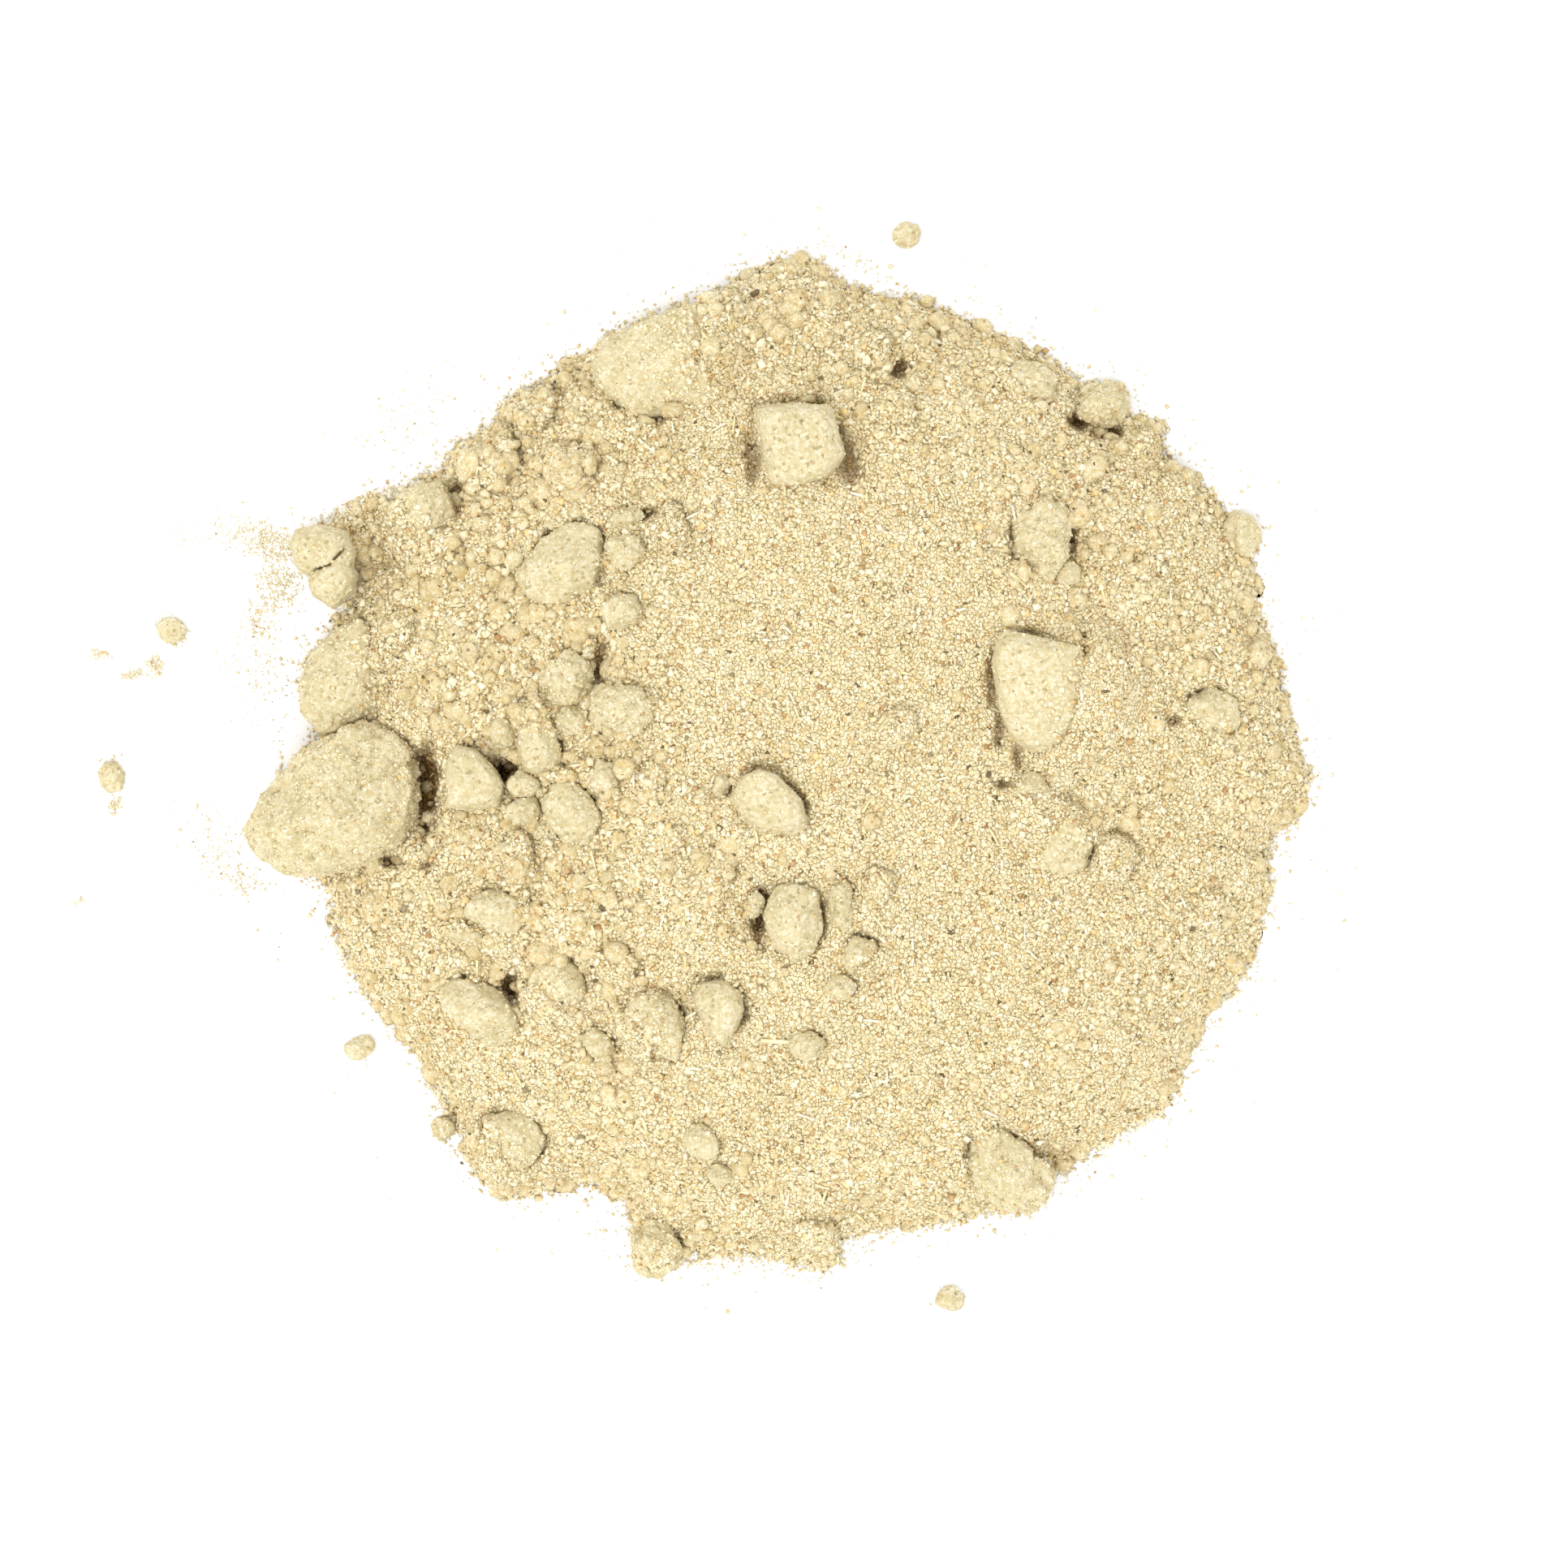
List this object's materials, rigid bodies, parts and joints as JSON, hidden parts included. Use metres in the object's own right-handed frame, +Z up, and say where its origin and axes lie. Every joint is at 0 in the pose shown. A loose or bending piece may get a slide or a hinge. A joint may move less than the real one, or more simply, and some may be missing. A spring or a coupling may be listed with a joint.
{
  "type": "heap of ground ginger",
  "caption": "Low uneven round heap of pale ground ginger, with caked lumps sunk in its surface and edge and small loose crumbs lying beside it.",
  "frame": {"origin": "on the table, under the middle of the heap", "axes": "+Z up from the table; +Y towards the heap's pointed side; -X towards the largest clod"},
  "size_m": [0.1196, 0.107, 0.0174],
  "materials": {
    "loose_powder": "matte",
    "caked_powder": "matte"
  },
  "bodies": {
    "root": {"block_beside_round_clod": "caked_powder", "bottom_edge_lump": "caked_powder", "bottom_pair_crumb": "caked_powder", "bottom_pair_lump": "caked_powder", "centre_facet_chip": "caked_powder", "centre_facet_lump": "caked_powder", "cluster_facet_lump": "caked_powder", "cluster_long_lump": "caked_powder", "cluster_lower_crumb": "caked_powder", "cluster_lower_lump": "caked_powder", "cluster_middle_crumb": "caked_powder", "cluster_outer_crumb": "caked_powder", "cluster_rough_lump": "caked_powder", "cluster_round_crumb": "caked_powder", "cluster_side_crumb": "caked_powder", "cluster_upper_lump": "caked_powder", "cracked_clod": "caked_powder", "crumb_above_block": "caked_powder", "half_buried_lump": "caked_powder", "half_round_lump": "caked_powder", "largest_clod": "caked_powder", "leaf_shaped_clod": "caked_powder", "long_oval_clod": "caked_powder", "long_oval_crumb": "caked_powder", "loose_crumb_bottom": "caked_powder", "loose_crumb_far_left": "caked_powder", "loose_crumb_foot": "caked_powder", "loose_crumb_low_left": "caked_powder", "loose_crumb_top": "caked_powder", "loose_crumb_upper_left": "caked_powder", "low_left_flake": "caked_powder", "low_left_lump": "caked_powder", "lower_middle_crumb": "caked_powder", "lower_middle_lump": "caked_powder", "lump_below_block": "caked_powder", "oval_clod": "caked_powder", "oval_lump_crumb": "caked_powder", "oval_rough_lump": "caked_powder", "pointed_lump": "caked_powder", "powder_heap": "loose_powder", "right_edge_crumb": "caked_powder", "right_half_buried_lump": "caked_powder", "right_round_lump": "caked_powder", "right_small_lump": "caked_powder", "right_wedge_clod": "caked_powder", "round_clod": "caked_powder", "round_crumb": "caked_powder", "slanting_crumb": "caked_powder", "smooth_edge_clod": "caked_powder", "square_clod": "caked_powder", "top_right_edge_lump": "caked_powder", "top_right_lump": "caked_powder", "twin_topped_lump": "caked_powder", "upper_edge_lump": "caked_powder", "upper_left_clod": "caked_powder", "upright_flake": "caked_powder"}
  },
  "joints": []
}
